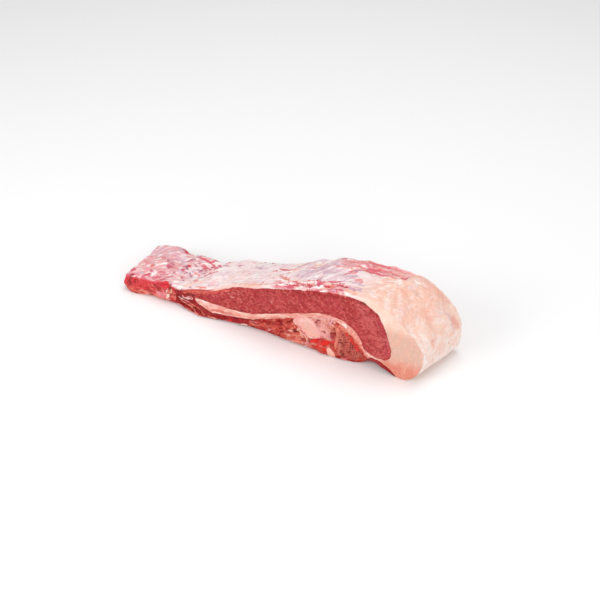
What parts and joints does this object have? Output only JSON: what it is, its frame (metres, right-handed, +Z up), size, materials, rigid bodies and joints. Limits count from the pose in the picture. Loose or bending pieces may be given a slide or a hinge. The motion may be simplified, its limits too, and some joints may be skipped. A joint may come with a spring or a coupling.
{
  "type": "bone-in beef brisket",
  "caption": "Raw strip of beef brisket sawn across the breast, thin at the rib end and thick at the breastbone end, with fat, muscle, cartilage and bone layers.",
  "frame": {"origin": "middle of the bounding box at the table", "axes": "+X along the strip from the thin rib end to the thick breastbone end, +Y from the front sawn face to the back one, +Z up"},
  "size_m": [0.4238, 0.09, 0.095],
  "materials": {
    "outer_fat": "soft cream fat with pinkish silverskin, slightly moist",
    "deep_muscle": "raw cross-cut muscle, deep rose red, moist, fine grain",
    "seam_fat": "soft fat between the muscles, cream and pink",
    "bright_muscle": "raw muscle, bright red, moist",
    "dark_muscle": "raw muscle in dark red strands with pale membrane, moist",
    "rib_meat": "raw meat between the ribs, mottled red and pink, moist",
    "cartilage": "pale lilac-pink sawn cartilage, smooth",
    "spongy_bone": "sawn spongy bone, dark brown-red, pitted"
  },
  "bodies": {
    "root": {"fat_cap": "outer_fat", "deep_pectoral": "deep_muscle", "seam_fat": "seam_fat", "end_muscle": "bright_muscle", "intercostal_muscle": "dark_muscle", "rib_meat": "rib_meat", "tail_muscle": "dark_muscle", "rib_cartilage": "cartilage", "cartilage_tip": "cartilage", "breastbone": "spongy_bone"}
  },
  "joints": []
}
